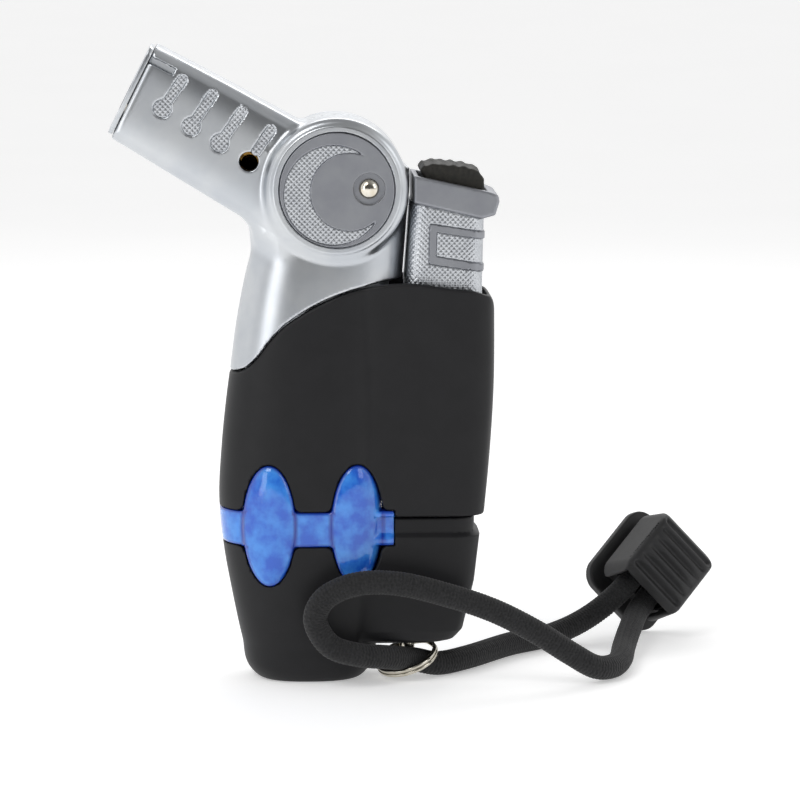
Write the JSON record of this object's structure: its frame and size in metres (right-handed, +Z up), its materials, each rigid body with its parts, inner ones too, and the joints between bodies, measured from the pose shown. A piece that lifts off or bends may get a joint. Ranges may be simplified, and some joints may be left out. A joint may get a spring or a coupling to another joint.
{
  "type": "butane torch",
  "caption": "Pocket butane torch: angled metal burner head, press-down piezo button, slim black body with clear blue fuel windows, and a bungee lanyard with cord lock.",
  "frame": {"origin": "centre of the flat underside of the foot, on the middle plane between the two sides", "axes": "+Z up the standing torch; -X towards the flame end; +X towards the press button; -Y the side that faces the viewer"},
  "size_m": [0.1037, 0.0573, 0.1045],
  "materials": {
    "satin_zinc": "satin, lightly brushed die casting",
    "satin_steel": "satin steel",
    "brass": "turned brass",
    "nickel": "polished warm nickel plate",
    "spring_steel": "drawn wire",
    "soft_touch_black": "soft-touch matte black",
    "clear_blue": "translucent blue, glossy",
    "pad_rubber": "matte moulded rubber",
    "lock_black": "matte moulded black",
    "cord_black": "braided cover over elastic core",
    "ceramic": "glazed ceramic, near white",
    "grey_plastic": "moulded dark grey",
    "hose_grey": "smooth fuel tube",
    "wire_red": "insulated lead"
  },
  "bodies": {
    "torch_body": {"upper_shell": "soft_touch_black", "lower_shell": "soft_touch_black", "fuel_tank": "clear_blue", "tank_lid": "grey_plastic", "outlet_valve_body": "brass", "outlet_valve_spring": "spring_steel", "lever_pivot_pin": "satin_steel", "fill_valve_body": "brass", "fill_valve_spring": "spring_steel", "head_shell_near": "satin_zinc", "head_shell_far": "satin_zinc", "side_disc_near": "satin_zinc", "side_disc_far": "satin_zinc", "head_rivet": "nickel", "burner_tube": "brass", "flame_cup": "satin_steel", "flame_plate": "brass", "gas_jet": "brass", "electrode_insulator": "ceramic", "spark_electrode": "nickel", "nozzle_end_plate": "satin_steel", "gas_hose": "hose_grey", "ignition_lead": "wire_red", "piezo_housing": "grey_plastic", "piezo_return_spring": "spring_steel", "lanyard_post": "nickel", "cord_lock_base": "lock_black", "cord_lock_spring": "spring_steel", "lanyard_cord": "cord_black"},
    "button": {"button_cap": "satin_zinc", "thumb_pad": "pad_rubber", "piezo_plunger": "satin_steel"},
    "lever": {"gas_lever": "satin_steel"},
    "valve_stem": {"outlet_valve_stem": "brass"},
    "fill_stem": {"fill_valve_stem": "brass"},
    "adjuster": {"flame_adjuster": "brass"},
    "ring": {"split_ring": "nickel"},
    "lock_cap": {"cord_lock_cap": "lock_black"}
  },
  "joints": [
    {"name": "button_press", "type": "slide", "parent": "torch_body", "child": "button", "axis": [0, 0, -1], "range_m": [0, 0.0034], "stiffness_N_per_m": 2500, "deforming": ["piezo_return_spring"]},
    {"name": "lever_rock", "type": "hinge", "parent": "torch_body", "child": "lever", "pos_m": [0.0035, 0, 0.049], "axis": [0, 1, 0], "range_deg": [0, 13.7]},
    {"name": "valve_stem_lift", "type": "slide", "parent": "torch_body", "child": "valve_stem", "axis": [0, 0, 1], "range_m": [0, 0.00115], "deforming": ["outlet_valve_spring"]},
    {"name": "fill_stem_push", "type": "slide", "parent": "torch_body", "child": "fill_stem", "axis": [0, 0, 1], "range_m": [0, 0.0015], "stiffness_N_per_m": 800, "deforming": ["fill_valve_spring"]},
    {"name": "flame_adjust", "type": "hinge", "parent": "torch_body", "child": "adjuster", "pos_m": [-0.0042, 0, 0], "axis": [0, 0, 1], "range_deg": [-135, 135]},
    {"name": "ring_turn", "type": "hinge", "parent": "torch_body", "child": "ring", "pos_m": [0.016, -0.0034, 0.00335], "axis": [-0.3093, -0.2944, 0.9043], "continuous": true},
    {"name": "lock_press", "type": "slide", "parent": "torch_body", "child": "lock_cap", "axis": [-0.4213, 0.8606, -0.2863], "range_m": [0, 0.002], "stiffness_N_per_m": 1200, "deforming": ["cord_lock_spring"]}
  ],
  "couplings": [
    {"joint": "lever_rock", "follows": "button_press", "rad_per_m": 70},
    {"joint": "valve_stem_lift", "follows": "button_press", "ratio": 0.335}
  ]
}
